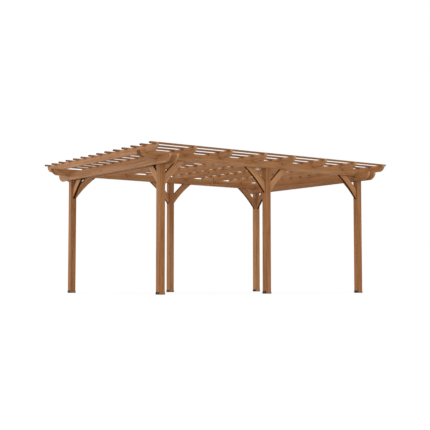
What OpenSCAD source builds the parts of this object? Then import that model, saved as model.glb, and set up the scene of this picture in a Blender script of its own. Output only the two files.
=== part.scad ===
// Garden pergola: six posts in steel shoes, two long beams on the post tops, paired ties that clasp
// the end posts, rafters notched over the beams, slats let into the rafters and arched knee braces.
// Millimetres, +Z up, +X along the beams, origin on the ground at the middle of the plan.

/* [Posts] */
// Side of the square post, and the beam's width
post_size = 105; // [90:1:140]
// Height of the post's top above the ground
post_top = 2161; // [2000:1:2600]
// Distance between neighbouring post centres along a beam
bay_span = 2164; // [1700:1:2800]
// Distance between the front and the back post centres
row_span = 3048; // [2200:1:3800]

/* [Post shoes] */
// Thickness of the folded steel plate
shoe_plate = 4; // [3:0.5:8]
// Height of the shoe's cheeks above the ground
shoe_height = 42; // [25:1:120]

/* [Long beams] */
// Depth of the beam
beam_depth = 120; // [105:1:160]
// Length of the beam past the end post's centre
beam_overhang = 424; // [300:1:600]

/* [Ties] */
// Thickness of one tie board
tie_thickness = 38; // [25:1:50]
// Depth of the tie board
tie_depth = 140; // [110:1:200]
// Height of the tie's top edge above the post's top
tie_rise = 56; // [20:1:64]
// Length of the tie past the post's centre
tie_overhang = 393; // [300:1:600]

/* [Rafters] */
// Number of rafters
rafter_count = 8; // [6:2:12]
// Thickness of a rafter
rafter_thickness = 38; // [25:1:50]
// Depth of a rafter
rafter_depth = 118; // [90:1:160]
// Length of the rafter past the post's centre
rafter_overhang = 396; // [300:1:600]
// Distance from the beam's tip to the centre of the outer rafter
rafter_setback = 118; // [60:1:160]
// Distance between the two middle rafters' centres, which stand closer than the others
rafter_middle_span = 632; // [400:1:800]
// Depth of the notch in the rafter's underside, over the beam
rafter_notch = 37; // [15:1:44]

/* [Slats] */
// Number of slats
slat_count = 14; // [8:1:20]
// Width of a slat
slat_width = 50; // [30:1:80]
// Height of a slat
slat_height = 27; // [18:1:40]
// Depth by which a slat is let into the rafter's top
slat_let = 10; // [4:1:15]
// Distance from the rafter's tip to the centre of the outer slat
slat_setback = 76; // [50:1:120]
// Length of the slat past the outer rafter's centre
slat_overhang = 102; // [40:1:160]

/* [Board ends] */
// Length of the rounded end along the underside, as a share of the board's depth
nose_length_share = 0.85; // [0.6:0.01:1]
// Height of the rounded end above the underside, as a share of the board's depth
nose_height_share = 0.72; // [0.6:0.01:0.8]
// Bulge of the rounded end beyond a straight cut, as a share of the board's depth
nose_bulge_share = 0.13; // [0.04:0.01:0.16]

/* [Knee braces] */
// Thickness of a brace
brace_thickness = 45; // [25:1:60]
// Width of the brace board
brace_width = 132; // [90:1:180]
// Reach of the brace's underside along the beam and down the post
brace_reach = 424; // [380:1:600]
// Depth of the arch in the brace's underside
brace_arch = 20; // [6:1:30]
// Length of the straight land left at each end of the arch
brace_land = 20; // [10:1:60]

/* [Hidden] */
// Play on each side of a lapped piece in its notch
lap_play = 1;
// Length by which a cut runs past the face that it opens
overrun = 10;

end_x = bay_span;
row_y = row_span / 2;
beam_length = 2 * (end_x + beam_overhang);
beam_top = post_top + beam_depth;
tie_length = row_span + 2 * tie_overhang;
tie_bottom = post_top + tie_rise - tie_depth;
rafter_length = row_span + 2 * rafter_overhang;
rafter_bottom = beam_top - rafter_notch;
outer_rafter_x = beam_length / 2 - rafter_setback;
rafter_half_count = rafter_count / 2;
rafter_pitch = (outer_rafter_x - rafter_middle_span / 2) / (rafter_half_count - 1);
slat_pitch = (rafter_length - 2 * slat_setback) / (slat_count - 1);
slat_length = 2 * (outer_rafter_x + slat_overhang);
slat_bottom = rafter_bottom + rafter_depth - slat_let;

// A mitre across a board that lies at 45 degrees is longer than the board is wide
mitre = brace_width * sqrt(2);
packer_thickness = (post_size - brace_thickness) / 2;

stained_timber = "#9c6236";
black_steel = "#26241f";

// Name of each row or column, and its side of the middle
rows = [["front", -1], ["back", 1]];
columns = [["left", -1], ["middle", 0], ["right", 1]];
sides = [["left", -1], ["right", 1]];
tie_faces = [["outer", 1], ["inner", -1]];

places = [for (row = rows, column = columns) str(row[0], "_", column[0])];

$fn = 240;

// Rafters are numbered from the left, and stand alike on both sides of the middle
function rafter_side_x(steps) = rafter_middle_span / 2 + steps * rafter_pitch;
function rafter_x(i) = i <= rafter_half_count
    ? -rafter_side_x(rafter_half_count - i)
    : rafter_side_x(i - rafter_half_count - 1);

function slat_y(i) = (i - 1) * slat_pitch - rafter_length / 2 + slat_setback;

// Radius of an arc that rises by a given height over its chord
function arc_radius(chord, rise) = (chord * chord / 4 + rise * rise) / (2 * rise);

// A side view of a board, drawn as length by depth, becomes a board along X
module along_x(thickness) {
    rotate([90, 0, 0]) linear_extrude(thickness, center = true) children();
}

// The same for a board along Y
module along_y(thickness) {
    rotate([90, 0, 90]) linear_extrude(thickness, center = true) children();
}

// What the rounded end takes off the lower corner at the tip of a board
module nose_cut(tip, depth) {
    nose_length = depth * nose_length_share;
    nose_height = depth * nose_height_share;
    nose_bulge = depth * nose_bulge_share;
    chord = norm([nose_length, nose_height]);
    radius = arc_radius(chord, nose_bulge);
    inward = [-nose_height, nose_length] / chord;
    centre = [nose_length, nose_height] / 2 + inward * (radius - nose_bulge);
    translate([tip - nose_length, 0]) difference() {
        translate([-overrun, -overrun])
            square([nose_length + 2 * overrun, nose_height + 2 * overrun]);
        translate(centre) circle(radius);
    }
}

// Side view of a board with a rounded lower corner at both tips
module nosed_board(length, depth) {
    difference() {
        translate([-length / 2, 0]) square([length, depth]);
        nose_cut(length / 2, depth);
        mirror([1, 0]) nose_cut(length / 2, depth);
    }
}

// Side view of a knee brace, with the corner of post and beam at the origin and the brace below it
module arched_brace() {
    chord = brace_reach * sqrt(2) - 2 * brace_land;
    radius = arc_radius(chord, brace_arch);
    outward = [1, -1] / sqrt(2);
    centre = [brace_reach, -brace_reach] / 2 + outward * (radius - brace_arch);
    difference() {
        polygon([
            [0, -brace_reach],
            [brace_reach, 0],
            [brace_reach - mitre, 0],
            [0, mitre - brace_reach]
        ]);
        translate(centre) circle(radius);
    }
}

// U-shaped steel plate under the post, with a cheek up its left and its right face
module shoe(row, column) {
    outer_width = post_size + 2 * shoe_plate;
    color(black_steel) translate([column * end_x, row * row_y, 0]) along_x(post_size) difference() {
        translate([-outer_width / 2, 0]) square([outer_width, shoe_height]);
        translate([-post_size / 2, shoe_plate]) square([post_size, shoe_height]);
    }
}

module post(row, column) {
    color(stained_timber) translate([column * end_x, row * row_y, shoe_plate])
        translate([-post_size / 2, -post_size / 2, 0]) cube([post_size, post_size, post_top - shoe_plate]);
}

// Long beam on the post tops
module beam(row) {
    color(stained_timber) translate([0, row * row_y, post_top]) along_x(post_size)
        nosed_board(beam_length, beam_depth);
}

// One board of the pair that clasps the end posts, notched from above where the beams pass
module tie(side, face) {
    notch_width = post_size + 2 * lap_play;
    x = side * (end_x + face * (post_size + tie_thickness) / 2);
    color(stained_timber) translate([x, 0, tie_bottom]) along_y(tie_thickness) difference() {
        nosed_board(tie_length, tie_depth);
        for (row = rows)
            translate([row[1] * row_y - notch_width / 2, tie_depth - tie_rise])
                square([notch_width, tie_rise + overrun]);
    }
}

// The head of a cross brace, as far as the ties cover it
module brace_head() {
    intersection() {
        arched_brace();
        translate([0, tie_bottom - post_top]) square([brace_reach, post_top - tie_bottom]);
    }
}

// Braces of one post: under the beam towards each neighbour and, at an end post, between the ties,
// where packers fill the room on both sides of the head
module braces(row, column) {
    color(stained_timber) translate([column * end_x, row * row_y, 0]) {
        for (way = [-1, 1])
            if (way != column)
                mirror([way < 0 ? 1 : 0, 0, 0]) translate([post_size / 2, 0, post_top])
                    along_x(brace_thickness) arched_brace();
        if (column != 0)
            mirror([0, row > 0 ? 1 : 0, 0])
                translate([0, post_size / 2, post_top]) {
                    along_y(brace_thickness) arched_brace();
                    for (face = [-1, 1])
                        translate([face * (brace_thickness + packer_thickness) / 2, 0, 0])
                            along_y(packer_thickness) brace_head();
                }
    }
}

// Rafter with nosed tails, notched from below over the beams and from above for the slats
module rafter(i) {
    notch_width = post_size + 2 * lap_play;
    seat_width = slat_width + 2 * lap_play;
    color(stained_timber) translate([rafter_x(i), 0, rafter_bottom]) along_y(rafter_thickness) difference() {
        nosed_board(rafter_length, rafter_depth);
        for (row = rows)
            translate([row[1] * row_y - notch_width / 2, -overrun])
                square([notch_width, rafter_notch + overrun]);
        for (k = [1 : slat_count])
            translate([slat_y(k) - seat_width / 2, rafter_depth - slat_let])
                square([seat_width, slat_let + overrun]);
    }
}

module slat(i) {
    color(stained_timber) translate([-slat_length / 2, slat_y(i) - slat_width / 2, slat_bottom])
        cube([slat_length, slat_width, slat_height]);
}

for (row = rows, column = columns) {
    place = str(row[0], "_", column[0]);
    shoe(row[1], column[1]);
    post(row[1], column[1]);
    braces(row[1], column[1]);
}
for (row = rows)
    beam(row[1]);
for (side = sides, face = tie_faces)
    tie(side[1], face[1]);
for (i = [1 : rafter_count])
    rafter(i);
for (i = [1 : slat_count])
    slat(i);
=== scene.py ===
"""Looks of a garden pergola: stained boards with eased arrises and a grain of their own, black steel
shoes, brown-coated screws, and a white studio stage seen from the front left."""

import math
import random

import bmesh
import bpy
from mathutils import Matrix, Vector


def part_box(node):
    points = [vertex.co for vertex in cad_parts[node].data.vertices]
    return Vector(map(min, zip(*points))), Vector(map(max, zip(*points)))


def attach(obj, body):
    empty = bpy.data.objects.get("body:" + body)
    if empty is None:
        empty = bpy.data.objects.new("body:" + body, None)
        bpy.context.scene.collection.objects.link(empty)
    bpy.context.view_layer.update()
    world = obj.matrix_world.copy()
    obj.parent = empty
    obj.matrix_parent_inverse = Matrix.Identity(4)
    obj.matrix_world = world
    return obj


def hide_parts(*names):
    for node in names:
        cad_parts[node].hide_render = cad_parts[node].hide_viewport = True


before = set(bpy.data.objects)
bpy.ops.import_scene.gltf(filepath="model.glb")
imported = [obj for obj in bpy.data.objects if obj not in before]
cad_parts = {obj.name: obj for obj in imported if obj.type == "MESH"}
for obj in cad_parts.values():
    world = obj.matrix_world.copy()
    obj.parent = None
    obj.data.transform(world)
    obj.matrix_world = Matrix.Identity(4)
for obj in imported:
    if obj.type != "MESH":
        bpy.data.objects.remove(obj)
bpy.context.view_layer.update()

MM = 0.001
SEED = 7
rng = random.Random(SEED)

X_AXIS, Y_AXIS, Z_AXIS = Vector((1, 0, 0)), Vector((0, 1, 0)), Vector((0, 0, 1))


# Colour and node helpers

# Sockets of the Mix node when it mixes colours
FACTOR, COLOUR_A, COLOUR_B, COLOUR_OUT = 0, 6, 7, 2


def linear(hex_colour):
    """Linear RGBA of an sRGB colour written as #rrggbb."""
    channels = [int(hex_colour[i:i + 2], 16) / 255 for i in (1, 3, 5)]
    return [c / 12.92 if c <= 0.04045 else ((c + 0.055) / 1.055) ** 2.4 for c in channels] + [1.0]


def add(tree, kind, inputs=None, **settings):
    """Adds one node: settings are its own properties, inputs map a socket to a value or a link."""
    made = tree.nodes.new(kind)
    for name, value in settings.items():
        setattr(made, name, value)
    for socket, value in (inputs or {}).items():
        if isinstance(value, bpy.types.NodeSocket):
            tree.links.new(value, made.inputs[socket])
        else:
            made.inputs[socket].default_value = value
    return made


def new_material(name):
    """An empty node material, its tree, and its output node."""
    material = bpy.data.materials.new(name)
    material.use_nodes = True
    material.node_tree.nodes.clear()
    output = add(material.node_tree, "ShaderNodeOutputMaterial")
    return material, material.node_tree, output


# Stained timber. Every board carries two attributes: "grain", its own coordinates in metres (along the
# grain, then across it from the heart of its tree), and "stain_and_painted_light": how far each face is
# darkened, partly as end grain that takes the stain darker and partly as painted shade, how far it is
# painted pale as a highlight, and the board's place on the scale of stain colours, which for some boards is
# also painted light.

# Real sizes of the figure, in metres. Only rings, about twice as wide as real ones, and fibres are drawn
# coarser, because the real ones would be too fine to show.
RING_WIDTH = 9 * MM
FIBRE_WIDTH = 4 * MM
FIBRE_LENGTH = 140 * MM
STREAK_WIDTH = 34 * MM
STREAK_LENGTH = 0.9
CHECK_WIDTH = 7 * MM
CHECK_LENGTH = 0.7
KNOT_SPACING = 190 * MM
KNOT_RADIUS = 30 * MM
KNOT_REACH = 75 * MM
KNOT_BEND = 14 * MM
RELIEF_HEIGHT = 0.6 * MM

# Width of one wave of the Wave texture at a scale of 1
WAVE_PERIOD = 2 * math.pi / 20

# Share of the cells that hold a knot, and of the pattern's scale that is left through the thickness of a
# board, where knots run deep
KNOT_SHARE = 0.3
KNOT_DEPTH_SHARE = 0.3

# How rings wander, how finely the noises are divided, and the noise levels at which checks open
RING_WANDER = 5.0
RING_WANDER_SCALE = 0.12
RING_DETAIL, FIBRE_DETAIL, STREAK_DETAIL, CHECK_DETAIL = 2.0, 3.0, 2.0, 0.0
NOISE_ROUGHNESS = 0.6
CHECK_START, CHECK_FULL = 0.72, 0.79

# Stain colours from the darkest late wood to the palest sapwood, with their places on a scale of 0 to 1
STAIN = ((0.0, "#7c4720"), (0.35, "#a36d40"), (0.6, "#b58154"), (1.0, "#cf9d71"))
# The sawn colour is partly end grain taking the stain darker and partly painted shade; the worn colour is a
# painted highlight.
KNOT_STAIN, CHECK_STAIN, SAWN_AND_SHADE_STAIN, PAINTED_HIGHLIGHT_TINT = "#4a2410", "#5b3418", "#4c230a", "#dcb78f"

# How far streaks, fibres and rings move a spot along that scale
STREAK_PULL, FIBRE_PULL, RING_PULL = 0.75, 0.4, -0.2

# Relief of rings and checks beside that of the fibres, and how strongly it shows
RING_RIDGE, CHECK_GROOVE = 0.4, -1.2
RELIEF_STRENGTH = 0.35

# The film is satin over dark fibres and duller over pale ones, and sawn faces are rougher
FIBRE_LOW, FIBRE_HIGH = 0.3, 0.7
FILM_SATIN, FILM_DULL = 0.46, 0.62
SAWN_DULLING = 0.35
PLANED_GLOSS, SAWN_GLOSS = 0.15, 0.02


def stretched_noise(tree, grain, width, length, detail):
    """Noise drawn out along the grain, whose spots have about the given width and length."""
    placed = add(tree, "ShaderNodeMapping", {"Vector": grain, "Scale": (1 / length, 1 / width, 1 / width)})
    noise = add(tree, "ShaderNodeTexNoise", {
        "Vector": placed.outputs[0], "Scale": 1.0, "Detail": detail, "Roughness": NOISE_ROUGHNESS})
    return noise.outputs["Fac"]


def knots(tree, grain):
    """Masks of the dark hearts of knots and of the patches where the rings swerve round them."""
    placed = add(tree, "ShaderNodeMapping", {
        "Vector": grain, "Scale": (1 / KNOT_SPACING, 1 / KNOT_SPACING, KNOT_DEPTH_SHARE / KNOT_SPACING)})
    cells = add(tree, "ShaderNodeTexVoronoi", {"Vector": placed.outputs[0], "Scale": 1.0})
    colour = add(tree, "ShaderNodeSeparateColor", {"Color": cells.outputs["Color"]})
    kept = add(tree, "ShaderNodeMath", {0: colour.outputs[0], 1: 1 - KNOT_SHARE}, operation="GREATER_THAN")
    masks = []
    for reach in (KNOT_RADIUS, KNOT_REACH):
        near = add(tree, "ShaderNodeMapRange", {
            "Value": cells.outputs["Distance"], "From Min": reach / KNOT_SPACING, "From Max": 0.0,
            "To Min": 0.0, "To Max": 1.0}, interpolation_type="SMOOTHSTEP")
        mask = add(tree, "ShaderNodeMath", {0: near.outputs[0], 1: kept.outputs[0]}, operation="MULTIPLY")
        masks.append(mask.outputs[0])
    return masks


def stained_softwood(name, gloss):
    """Softwood under a cedar-brown stain: rings that swerve round knots, streaks and fine drying checks
    show through the film, which is satin on planed faces. End grain and sawn edges are darker and dull, a
    darkening that is also painted shade on beam ends, slat sides and brace edges; arrises and tails are
    painted pale as highlights."""
    material, tree, output = new_material(name)
    grain = add(tree, "ShaderNodeAttribute", attribute_name="grain").outputs["Vector"]
    stain_and_painted_light = add(tree, "ShaderNodeAttribute", attribute_name="stain_and_painted_light").outputs["Vector"]
    sawn_and_shade, highlight, tone_and_light = add(tree, "ShaderNodeSeparateXYZ", {0: stain_and_painted_light}).outputs

    # Figure of the wood
    knot, swerve = knots(tree, grain)
    bent = add(tree, "ShaderNodeVectorMath", {
        0: swerve, 1: (0.0, KNOT_BEND, KNOT_BEND), 2: grain}, operation="MULTIPLY_ADD").outputs[0]
    rings = add(tree, "ShaderNodeTexWave", {
        "Vector": bent, "Scale": WAVE_PERIOD / RING_WIDTH, "Distortion": RING_WANDER,
        "Detail": RING_DETAIL, "Detail Scale": RING_WANDER_SCALE},
        wave_type="RINGS", rings_direction="X", wave_profile="SAW").outputs["Fac"]
    fibres = stretched_noise(tree, grain, FIBRE_WIDTH, FIBRE_LENGTH, FIBRE_DETAIL)
    streaks = stretched_noise(tree, bent, STREAK_WIDTH, STREAK_LENGTH, STREAK_DETAIL)
    drying = stretched_noise(tree, bent, CHECK_WIDTH, CHECK_LENGTH, CHECK_DETAIL)
    checks = add(tree, "ShaderNodeMapRange", {
        "Value": drying, "From Min": CHECK_START, "From Max": CHECK_FULL}).outputs[0]

    # Colour of the stain
    place = tone_and_light
    for figure, pull in ((streaks, STREAK_PULL), (fibres, FIBRE_PULL), (rings, RING_PULL)):
        pulled = add(tree, "ShaderNodeMath", {0: figure, 1: pull, 2: place}, operation="MULTIPLY_ADD")
        place = pulled.outputs[0]
    ramp = add(tree, "ShaderNodeValToRGB", {"Fac": place})
    stops = ramp.color_ramp.elements
    for spot, _ in STAIN[1:-1]:
        stops.new(spot)
    for stop, (spot, colour) in zip(stops, STAIN):
        stop.position = spot
        stop.color = linear(colour)
    board = ramp.outputs["Color"]
    # Knots and checks are the wood's own marks; the dark mix is partly sawn end grain and partly painted
    # shade, and the pale mix is a painted highlight.
    for mask, colour in ((knot, KNOT_STAIN), (checks, CHECK_STAIN), (sawn_and_shade, SAWN_AND_SHADE_STAIN), (highlight, PAINTED_HIGHLIGHT_TINT)):
        mixed = add(tree, "ShaderNodeMix", {
            FACTOR: mask, COLOUR_A: board, COLOUR_B: linear(colour)}, data_type="RGBA")
        board = mixed.outputs[COLOUR_OUT]

    # Relief and sheen
    ridges = add(tree, "ShaderNodeMath", {0: rings, 1: RING_RIDGE, 2: fibres}, operation="MULTIPLY_ADD")
    relief = add(tree, "ShaderNodeMath", {
        0: checks, 1: CHECK_GROOVE, 2: ridges.outputs[0]}, operation="MULTIPLY_ADD")
    bump = add(tree, "ShaderNodeBump", {
        "Height": relief.outputs[0], "Strength": RELIEF_STRENGTH, "Distance": RELIEF_HEIGHT})
    film = add(tree, "ShaderNodeMapRange", {
        "Value": fibres, "From Min": FIBRE_LOW, "From Max": FIBRE_HIGH,
        "To Min": FILM_SATIN, "To Max": FILM_DULL})
    dulled = add(tree, "ShaderNodeMath", {
        0: sawn_and_shade, 1: SAWN_DULLING, 2: film.outputs[0]}, operation="MULTIPLY_ADD")
    shader = add(tree, "ShaderNodeBsdfPrincipled", {
        "Base Color": board, "Roughness": dulled.outputs[0], "Specular IOR Level": gloss,
        "Normal": bump.outputs[0]})
    tree.links.new(shader.outputs[0], output.inputs["Surface"])
    return material


# Powder coat of the shoes

PEBBLE_WIDTH = 1.5 * MM
PEBBLE_HEIGHT = 0.1 * MM
PEBBLE_STRENGTH = 0.2
PEBBLE_DETAIL = 1.0
SCUFF_WIDTH = 12 * MM
SCUFF_DETAIL = 3.0
SCUFF_START, SCUFF_FULL = 0.45, 0.75
COAT_BLACK, COAT_DUST = "#17171a", "#272629"
COAT_SATIN, COAT_DULL = 0.42, 0.7
COAT_GLOSS = 0.25


def powder_coated_steel():
    """Folded steel plate under a black powder coat: a slightly pebbled satin with dusty, scuffed
    patches."""
    material, tree, output = new_material("powder_coated_steel")
    place = add(tree, "ShaderNodeTexCoord").outputs["Object"]
    pebble = add(tree, "ShaderNodeTexNoise", {
        "Vector": place, "Scale": 1 / PEBBLE_WIDTH, "Detail": PEBBLE_DETAIL})
    scuff = add(tree, "ShaderNodeTexNoise", {
        "Vector": place, "Scale": 1 / SCUFF_WIDTH, "Detail": SCUFF_DETAIL})
    patches = add(tree, "ShaderNodeMapRange", {
        "Value": scuff.outputs["Fac"], "From Min": SCUFF_START, "From Max": SCUFF_FULL}).outputs[0]
    colour = add(tree, "ShaderNodeMix", {
        FACTOR: patches, COLOUR_A: linear(COAT_BLACK), COLOUR_B: linear(COAT_DUST)}, data_type="RGBA")
    sheen = add(tree, "ShaderNodeMapRange", {"Value": patches, "To Min": COAT_SATIN, "To Max": COAT_DULL})
    bump = add(tree, "ShaderNodeBump", {
        "Height": pebble.outputs["Fac"], "Strength": PEBBLE_STRENGTH, "Distance": PEBBLE_HEIGHT})
    shader = add(tree, "ShaderNodeBsdfPrincipled", {
        "Base Color": colour.outputs[COLOUR_OUT], "Roughness": sheen.outputs[0],
        "Specular IOR Level": COAT_GLOSS, "Normal": bump.outputs[0]})
    tree.links.new(shader.outputs[0], output.inputs["Surface"])
    return material


# Coating of the screws

RUBBED_SPOT = 2 * MM
RUBBED_DETAIL = 2.0
SCREW_BROWN, SCREW_RUBBED = "#4a2f1c", "#7d5a3c"
SCREW_SHINE, SCREW_DULL = 0.35, 0.6
SCREW_METALLIC = 0.4


def brown_coated_screw_steel():
    """Screw steel under a baked brown coating: dark bronze, with paler rubbed spots and a soft shine."""
    material, tree, output = new_material("brown_coated_screw_steel")
    place = add(tree, "ShaderNodeTexCoord").outputs["Object"]
    rubbed = add(tree, "ShaderNodeTexNoise", {
        "Vector": place, "Scale": 1 / RUBBED_SPOT, "Detail": RUBBED_DETAIL}).outputs["Fac"]
    colour = add(tree, "ShaderNodeMix", {
        FACTOR: rubbed, COLOUR_A: linear(SCREW_BROWN), COLOUR_B: linear(SCREW_RUBBED)}, data_type="RGBA")
    shine = add(tree, "ShaderNodeMapRange", {"Value": rubbed, "To Min": SCREW_SHINE, "To Max": SCREW_DULL})
    shader = add(tree, "ShaderNodeBsdfPrincipled", {
        "Base Color": colour.outputs[COLOUR_OUT], "Roughness": shine.outputs[0],
        "Metallic": SCREW_METALLIC})
    tree.links.new(shader.outputs[0], output.inputs["Surface"])
    return material


PLANED_SOFTWOOD = stained_softwood("planed_softwood", PLANED_GLOSS)
SAWN_SOFTWOOD = stained_softwood("sawn_softwood", SAWN_GLOSS)
STEEL = powder_coated_steel()
SCREW_STEEL = brown_coated_screw_steel()


# Dressed pieces

# How far the edges of the pieces are eased
NOSED_ARRIS = 6 * MM
POST_ARRIS = 4 * MM
BRACE_ARRIS = 5 * MM
SLAT_ARRIS = 2.5 * MM
STEEL_ARRIS = 1.2 * MM
ARRISES = {"post": POST_ARRIS, "beam": NOSED_ARRIS, "tie": NOSED_ARRIS, "rafter": NOSED_ARRIS,
           "slat": SLAT_ARRIS, "braces": BRACE_ARRIS}
ARRIS_SEGMENTS = 2

# Corners closer than the weld are merged, faces flatter than the flat angle are joined, and edges
# sharper than the sharp angle are eased
WELD = 0.01 * MM
FLAT_ANGLE = math.radians(1)
SHARP_ANGLE = math.radians(30)

# Directions along the grain, across the depth and through the thickness of each kind of straight board
STRAIGHT_AXES = {
    "post": (Z_AXIS, X_AXIS, Y_AXIS),
    "beam": (X_AXIS, Z_AXIS, Y_AXIS),
    "tie": (Y_AXIS, Z_AXIS, X_AXIS),
    "rafter": (Y_AXIS, Z_AXIS, X_AXIS),
    "slat": (X_AXIS, Y_AXIS, Z_AXIS),
}

# Place of each kind of board on the scale of stain colours, how far a single board strays from it, and
# the boards that have a place of their own. Those places are partly the boards' own tones and partly
# painted light:
# the back right and middle posts and the back beam are set paler to stand in for light that the roof keeps
# from them
TONES = {"post": 0.33, "beam": 0.54, "tie": 0.56, "rafter": 0.58, "slat": 0.55, "braces": 0.68}
TONE_STRAY = 0.06
BOARD_TONES_AND_LIGHT = {"post_back_right": 0.52, "post_back_middle": 0.4, "post_back_left": 0.31,
               "post_front_left": 0.38, "post_front_right": 0.35, "beam_back": 0.61, "beam_front": 0.55,
               "tie_left_outer": 0.58}

# Where a board lay in its tree, in metres: up the log, beside the heart and away from it, and how far its
# grain leans
LOG_LENGTH = 50.0
HEART_SIDE = 0.15
HEART_NEAR, HEART_FAR = 0.05, 0.12
GRAIN_LEAN = 0.02

# How far arrises and the tails of ties and rafters are painted pale as highlights, and how far beam ends
# and slat sides are darkened, partly as end grain that takes the stain darker and partly as painted shade
ARRIS_HIGHLIGHT_SHARE = 0.75
TAIL_HIGHLIGHT_SHARES = {"tie": 0.35, "rafter": 0.35}
BEAM_END_SHARE = 0.75
SLAT_SIDE_SHARE = 0.4

# A face of a brace is darkened fully once it turns this far from the brace's sides, partly as a sawn edge
# and partly as painted shade, and is dull past the half
BRACE_TURN_SHARE = 0.3
HALF_SHARE = 0.5


def kind_of(name):
    """The kind of a node, which its name starts with."""
    return name.split("_")[0]


def box_of(name):
    """The middle, the lowest and the highest corner of a node's box."""
    low, high = (Vector(corner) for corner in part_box(name))
    return (low + high) / 2, low, high


def linked(name, data):
    """A new object at the origin, linked to the scene."""
    made = bpy.data.objects.new(name, data)
    bpy.context.scene.collection.objects.link(made)
    return made


def mesh_of(shape, name, materials):
    """A mesh made of a finished shape, with its materials."""
    mesh = bpy.data.meshes.new(name)
    shape.to_mesh(mesh)
    shape.free()
    for material in materials:
        mesh.materials.append(material)
    return mesh


def add_piece(shape, name, materials, node=None):
    """Makes a piece of a finished shape, which rides on the frame and may stand for a node."""
    piece = linked(name, mesh_of(shape, name, materials))
    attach(piece, "root")
    if node:
        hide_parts(node)


def slanted(face):
    """Whether a face looks along none of the frame's axes, as the long edges of a brace do."""
    return max(abs(share) for share in face.normal) < math.cos(SHARP_ANGLE)


def eased_copy(name, arris):
    """A copy of a CAD node's mesh with its outer edges eased, and the faces of those arrises."""
    shape = bmesh.new()
    shape.from_mesh(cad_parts[name].data)
    bmesh.ops.remove_doubles(shape, verts=shape.verts, dist=WELD)
    bmesh.ops.dissolve_limit(shape, angle_limit=FLAT_ANGLE, verts=shape.verts, edges=shape.edges)
    sharp = [e for e in shape.edges if e.is_convex and e.calc_face_angle(0) > SHARP_ANGLE]
    if kind_of(name) == "braces":
        sharp = [e for e in sharp if any(slanted(f) for f in e.link_faces)]
    eased = bmesh.ops.bevel(shape, geom=sharp, offset=arris, affect="EDGES", segments=ARRIS_SEGMENTS,
                            profile=0.5, material=-1, clamp_overlap=True)
    return shape, set(eased["faces"])


def islands(shape):
    """The faces of each separate solid in a mesh, walked in the same order on every run."""
    left = dict.fromkeys(shape.faces)
    while left:
        found = [next(iter(left))]
        del left[found[0]]
        for face in found:
            for neighbour in (f for e in face.edges for f in e.link_faces if f in left):
                del left[neighbour]
                found.append(neighbour)
        yield found


def brace_axes(faces, name):
    """Directions along, across and through a brace, which leans up and away from its post."""
    corners = [v.co for f in faces for v in f.verts]
    post_middle, _, _ = box_of(name.replace("braces", "post"))
    out = sum(corners, Vector()) / len(corners) - post_middle
    level, thick = (X_AXIS, Y_AXIS) if abs(out.x) > abs(out.y) else (Y_AXIS, X_AXIS)
    away = level * math.copysign(1, out.dot(level))
    return (Z_AXIS + away).normalized(), (Z_AXIS - away).normalized(), thick


def sawn_and_shade_share(kind, normal, axes):
    """How far a face is darkened: across the grain and on sawn edges, where the stain goes darker, and as
    painted shade on beam ends, slat sides and the narrow edges of braces.
    """
    along, depth, thick = axes
    across = abs(normal.dot(along))
    if kind == "braces":
        return min(1.0, (1 - abs(normal.dot(thick))) / BRACE_TURN_SHARE)
    if kind == "slat":
        return max(across, SLAT_SIDE_SHARE * abs(normal.dot(depth)))
    return BEAM_END_SHARE * across if kind == "beam" else 0.0


def highlight_share(kind, normal, axes, eased):
    """How far a face is painted pale as a highlight: on arrises, and on the tails of ties and rafters."""
    if eased and kind != "braces":
        return ARRIS_HIGHLIGHT_SHARE
    return TAIL_HIGHLIGHT_SHARES.get(kind, 0.0) * abs(normal.dot(axes[0]))


def figure_board(shape, faces, name, axes, arris_faces):
    """Gives one board its grain coordinates, its stain with painted shade and highlights, and its smooth
    shading.
    """
    grain = shape.verts.layers.float_vector["grain"]
    stain_and_painted_light = shape.faces.layers.float_vector["stain_and_painted_light"]
    kind = kind_of(name)
    along, depth, thick = axes
    start = Vector((
        rng.uniform(0, LOG_LENGTH),
        rng.uniform(-HEART_SIDE, HEART_SIDE),
        rng.uniform(HEART_NEAR, HEART_FAR),
    ))
    lean = Vector((0, rng.uniform(-GRAIN_LEAN, GRAIN_LEAN), rng.uniform(-GRAIN_LEAN, GRAIN_LEAN)))
    # The tones listed for single boards are partly painted light: the back ones are paler where the roof
    # shades them
    tone_and_light = BOARD_TONES_AND_LIGHT.get(name, TONES[kind] + rng.uniform(-TONE_STRAY, TONE_STRAY))
    # The figures have a mean of a half each, which the tone makes up for
    tone_and_light -= (STREAK_PULL + FIBRE_PULL + RING_PULL) / 2

    verts = dict.fromkeys(v for f in faces for v in f.verts)
    middle = sum((v.co for v in verts), Vector()) / len(verts)
    for vert in verts:
        place = vert.co - middle
        run = place.dot(along)
        vert[grain] = start + lean * run + Vector((run, place.dot(depth), place.dot(thick)))

    for face in faces:
        eased = face in arris_faces
        aligned = max(abs(face.normal.dot(axis)) for axis in (*axes, X_AXIS, Y_AXIS, Z_AXIS))
        face.smooth = eased or aligned < math.cos(FLAT_ANGLE)
        sawn_and_shade = sawn_and_shade_share(kind, face.normal, axes)
        face.material_index = int(kind == "braces" and sawn_and_shade > HALF_SHARE)
        face[stain_and_painted_light] = (sawn_and_shade, highlight_share(kind, face.normal, axes, eased), tone_and_light)


def timber(name):
    """A dressed board, or the boards of one node, with the grain running along each of them."""
    kind = kind_of(name)
    shape, arris_faces = eased_copy(name, ARRISES[kind])
    shape.verts.layers.float_vector.new("grain")
    shape.faces.layers.float_vector.new("stain_and_painted_light")
    shape.normal_update()
    for faces in list(islands(shape)):
        axes = STRAIGHT_AXES.get(kind) or brace_axes(faces, name)
        figure_board(shape, faces, name, axes, arris_faces)
    materials = [PLANED_SOFTWOOD, SAWN_SOFTWOOD] if kind == "braces" else [PLANED_SOFTWOOD]
    add_piece(shape, f"{name}_timber", materials, name)


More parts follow.
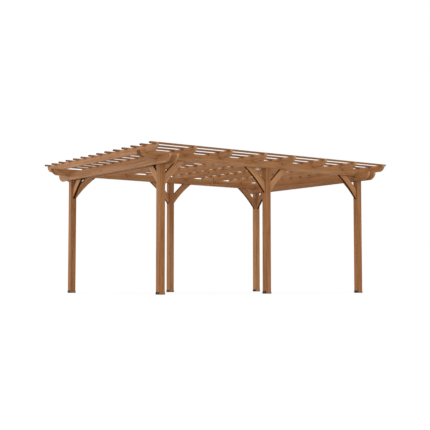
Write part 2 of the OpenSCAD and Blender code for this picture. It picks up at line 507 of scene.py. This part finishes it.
def steel_shoe(name):
    """A dressed steel shoe."""
    shape, arris_faces = eased_copy(name, STEEL_ARRIS)
    for face in arris_faces:
        face.smooth = True
    add_piece(shape, f"{name}_steel", [STEEL], name)


for node_name in list(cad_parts):
    if kind_of(node_name) == "shoe":
        steel_shoe(node_name)
    else:
        timber(node_name)


# Screws. Their heads stand just proud of the faces that they are driven into. A place is a point on a
# face and the direction that the face looks in.

HEAD_SIDES = 12
HEX_SIDES = 6
HEAD_TAPER_SHARE = 0.85
DRIVE_WIDTH_SHARE = 0.45
DRIVE_DEPTH_SHARE = 0.6
SLAT_SCREW_RADIUS = 4.5 * MM
SLAT_SCREW_RISE = 0.8 * MM
TIE_SCREW_RADIUS = 8 * MM
TIE_SCREW_RISE = 4 * MM
TIE_SCREW_PLACES = ((-24 * MM, -26 * MM), (24 * MM, -60 * MM))
SHOE_SCREW_RADIUS = 6 * MM
SHOE_SCREW_RISE = 4 * MM
SHOE_SCREW_SPREAD = 28 * MM
SHOE_SCREW_HEIGHT = 25 * MM
BRACE_SCREW_RADIUS = 5.5 * MM
BRACE_SCREW_RISE = 2 * MM
BRACE_SCREW_SPREAD = 11 * MM
BRACE_SCREW_SETBACK = 75 * MM
BRACE_ARCH = 20 * MM


def nodes_of(kind):
    """The names of the nodes of one kind."""
    return [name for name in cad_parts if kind_of(name) == kind]


def screw_heads(name, places, radius, rise, sides, material):
    """One piece with all the heads of a kind, each with a recess for the driver."""
    shape = bmesh.new()
    for point, out in places:
        turn = out.to_track_quat("Z", "Y").to_matrix().to_4x4()
        head = bmesh.ops.create_cone(
            shape, cap_ends=True, segments=sides, radius1=radius, radius2=radius * HEAD_TAPER_SHARE,
            depth=rise, matrix=Matrix.Translation(point + out * rise / 2) @ turn)
        faces = {f for v in head["verts"] for f in v.link_faces}
        for face in faces:
            face.normal_update()
        top = max(faces, key=lambda f: f.normal.dot(out))
        bmesh.ops.inset_individual(
            shape, faces=[top], thickness=radius * DRIVE_WIDTH_SHARE, depth=-rise * DRIVE_DEPTH_SHARE)
    add_piece(shape, name, [material])


def slat_screws():
    """A screw wherever a slat crosses a rafter."""
    for slat_name in nodes_of("slat"):
        slat_middle, _, slat_high = box_of(slat_name)
        for rafter_name in nodes_of("rafter"):
            rafter_middle, _, _ = box_of(rafter_name)
            yield Vector((rafter_middle.x, slat_middle.y, slat_high.z)), Z_AXIS


def tie_screws():
    """Two screws through every tie into each post that it clasps."""
    for tie_name in nodes_of("tie"):
        side = tie_name.split("_")[1]
        _, tie_low, tie_high = box_of(tie_name)
        for row in ("front", "back"):
            post_middle, _, post_high = box_of(f"post_{row}_{side}")
            beyond = tie_low.x > post_middle.x
            out = X_AXIS if beyond else -X_AXIS
            face_x = tie_high.x if beyond else tie_low.x
            for shift, drop in TIE_SCREW_PLACES:
                yield Vector((face_x, post_middle.y + shift, post_high.z + drop)), out


def shoe_screws():
    """Two screws through each cheek of every shoe."""
    for shoe_name in nodes_of("shoe"):
        middle, low, high = box_of(shoe_name)
        for face_x, out in ((low.x, -X_AXIS), (high.x, X_AXIS)):
            for shift in (-SHOE_SCREW_SPREAD, SHOE_SCREW_SPREAD):
                yield Vector((face_x, middle.y + shift, SHOE_SCREW_HEIGHT)), out


def underside_screws(post_name, way):
    """Two screws near each end of the arched underside of the brace that leaves a post one way."""
    middle, low, high = box_of(post_name)
    _, brace_low, brace_high = box_of(post_name.replace("post", "braces"))
    reach = brace_high.z - brace_low.z
    half_chord = reach / math.sqrt(2)
    outward, climb = (way - Z_AXIS).normalized(), (way + Z_AXIS).normalized()
    corner = Vector((middle.x, middle.y, high.z)) + way * (high.x - low.x) / 2
    for end in (-1, 1):
        run = end * (half_chord - BRACE_SCREW_SETBACK)
        rise = BRACE_ARCH * (1 - (run / half_chord) ** 2)
        out = (outward - climb * 2 * BRACE_ARCH * run / half_chord ** 2).normalized()
        point = corner + (way - Z_AXIS) * reach / 2 + climb * run - outward * rise
        for side in (-1, 1):
            yield point + way.cross(Z_AXIS) * side * BRACE_SCREW_SPREAD, out


def brace_screws():
    """The screws of all braces. Braces leave a post along the beam towards each neighbour and, where
    there is only one, also across towards the other row."""
    for post_name in nodes_of("post"):
        middle, low, high = box_of(post_name)
        ways = [X_AXIS * sign for sign in (-1, 1) if sign * middle.x < high.x - low.x]
        if len(ways) == 1:
            ways.append(Y_AXIS * -math.copysign(1, middle.y))
        for way in ways:
            yield from underside_screws(post_name, way)


screw_heads("slat_screws", slat_screws(), SLAT_SCREW_RADIUS, SLAT_SCREW_RISE, HEAD_SIDES, SCREW_STEEL)
screw_heads("tie_screws", tie_screws(), TIE_SCREW_RADIUS, TIE_SCREW_RISE, HEX_SIDES, SCREW_STEEL)
screw_heads("shoe_screws", shoe_screws(), SHOE_SCREW_RADIUS, SHOE_SCREW_RISE, HEX_SIDES, STEEL)
screw_heads("brace_screws", brace_screws(), BRACE_SCREW_RADIUS, BRACE_SCREW_RISE, HEAD_SIDES, SCREW_STEEL)


# Stage, light and camera

STUDIO_WHITE, BOUNCE_GREY = "#ffffff", "#b4b4b4"
FLOOR_REACH = 60.0
FLOOR_GLOW_SHARE = 0.8
WORLD_STRENGTH = 1.05
KEY_ENERGY = 0.28
KEY_ANGLE = math.radians(60)
KEY_DIRECTION = Vector((0.85, 0.75, -0.4))
SOFTBOX_POWER = 170.0
SOFTBOX_WIDTH = 6.0
SOFTBOX_HEIGHT = 4.0
SOFTBOX_PLACE = Vector((-7.5, 9.5, 2.2))
SOFTBOX_AIM = Vector((-1.2, 0.0, 1.4))
CAMERA_PLACE = Vector((-10.338, -14.404, 0.2035))
CAMERA_YAW = math.radians(35.66)
CAMERA_PITCH = math.radians(3.99)
CAMERA_FOCAL_PIXELS = 957.3
CAMERA_RANGE = 200.0
SENSOR_WIDTH_MM = 36.0
PHOTO_PIXELS = 430


def seen_ray(tree):
    """1 for a ray that shows the background itself, to the camera or in a gloss, and 0 for stray light."""
    path = add(tree, "ShaderNodeLightPath")
    seen = path.outputs["Is Camera Ray"]
    for ray in ("Is Glossy Ray", "Is Transmission Ray"):
        seen = add(tree, "ShaderNodeMath", {0: seen, 1: path.outputs[ray]}, operation="MAXIMUM").outputs[0]
    return seen


def white_floor():
    """Studio floor: white where it is seen, with a faint soft shadow, and a grey card as a bounce light."""
    material, tree, output = new_material("white_floor")
    matt = add(tree, "ShaderNodeBsdfDiffuse", {"Color": linear(STUDIO_WHITE)})
    glow = add(tree, "ShaderNodeEmission", {"Color": linear(STUDIO_WHITE), "Strength": 1.0})
    white = add(tree, "ShaderNodeMixShader", {0: FLOOR_GLOW_SHARE, 1: matt.outputs[0], 2: glow.outputs[0]})
    bounce = add(tree, "ShaderNodeBsdfDiffuse", {"Color": linear(BOUNCE_GREY)})
    mixed = add(tree, "ShaderNodeMixShader", {0: seen_ray(tree), 1: bounce.outputs[0], 2: white.outputs[0]})
    tree.links.new(mixed.outputs[0], output.inputs["Surface"])
    shape = bmesh.new()
    bmesh.ops.create_grid(shape, x_segments=1, y_segments=1, size=FLOOR_REACH)
    linked("floor", mesh_of(shape, "floor", [material]))


def studio_camera():
    """The photograph's viewpoint: low, in front of the left end, with a long lens."""
    data = bpy.data.cameras.new("camera")
    data.sensor_width = SENSOR_WIDTH_MM
    data.lens = CAMERA_FOCAL_PIXELS / PHOTO_PIXELS * SENSOR_WIDTH_MM
    data.clip_end = CAMERA_RANGE
    camera = linked("camera", data)
    camera.location = CAMERA_PLACE
    camera.rotation_euler = (math.pi / 2 + CAMERA_PITCH, 0.0, -CAMERA_YAW)
    bpy.context.scene.camera = camera


def studio_world():
    """White to the camera, and about as white as light."""
    world = bpy.data.worlds.new("studio")
    bpy.context.scene.world = world
    world.use_nodes = True
    tree = world.node_tree
    tree.nodes.clear()
    output = add(tree, "ShaderNodeOutputWorld")
    seen = add(tree, "ShaderNodeBackground", {"Color": linear(STUDIO_WHITE), "Strength": 1.0})
    light = add(tree, "ShaderNodeBackground", {"Color": linear(STUDIO_WHITE), "Strength": WORLD_STRENGTH})
    mixed = add(tree, "ShaderNodeMixShader", {0: seen_ray(tree), 1: light.outputs[0], 2: seen.outputs[0]})
    tree.links.new(mixed.outputs[0], output.inputs["Surface"])


def studio_key():
    """A wide, soft key light from the front left."""
    data = bpy.data.lights.new("key", "SUN")
    data.energy = KEY_ENERGY
    data.angle = KEY_ANGLE
    lamp = linked("key", data)
    lamp.rotation_euler = KEY_DIRECTION.to_track_quat("-Z", "Y").to_euler()


def studio_softbox():
    """A softbox behind the left end, which puts a sheen on the faces that look left."""
    data = bpy.data.lights.new("softbox", "AREA")
    data.shape = "RECTANGLE"
    data.size = SOFTBOX_WIDTH
    data.size_y = SOFTBOX_HEIGHT
    data.energy = SOFTBOX_POWER
    lamp = linked("softbox", data)
    lamp.location = SOFTBOX_PLACE
    lamp.rotation_euler = (SOFTBOX_AIM - SOFTBOX_PLACE).to_track_quat("-Z", "Y").to_euler()
    lamp.visible_camera = False


white_floor()
studio_camera()
studio_world()
studio_key()
studio_softbox()
bpy.context.scene.view_settings.view_transform = "Standard"
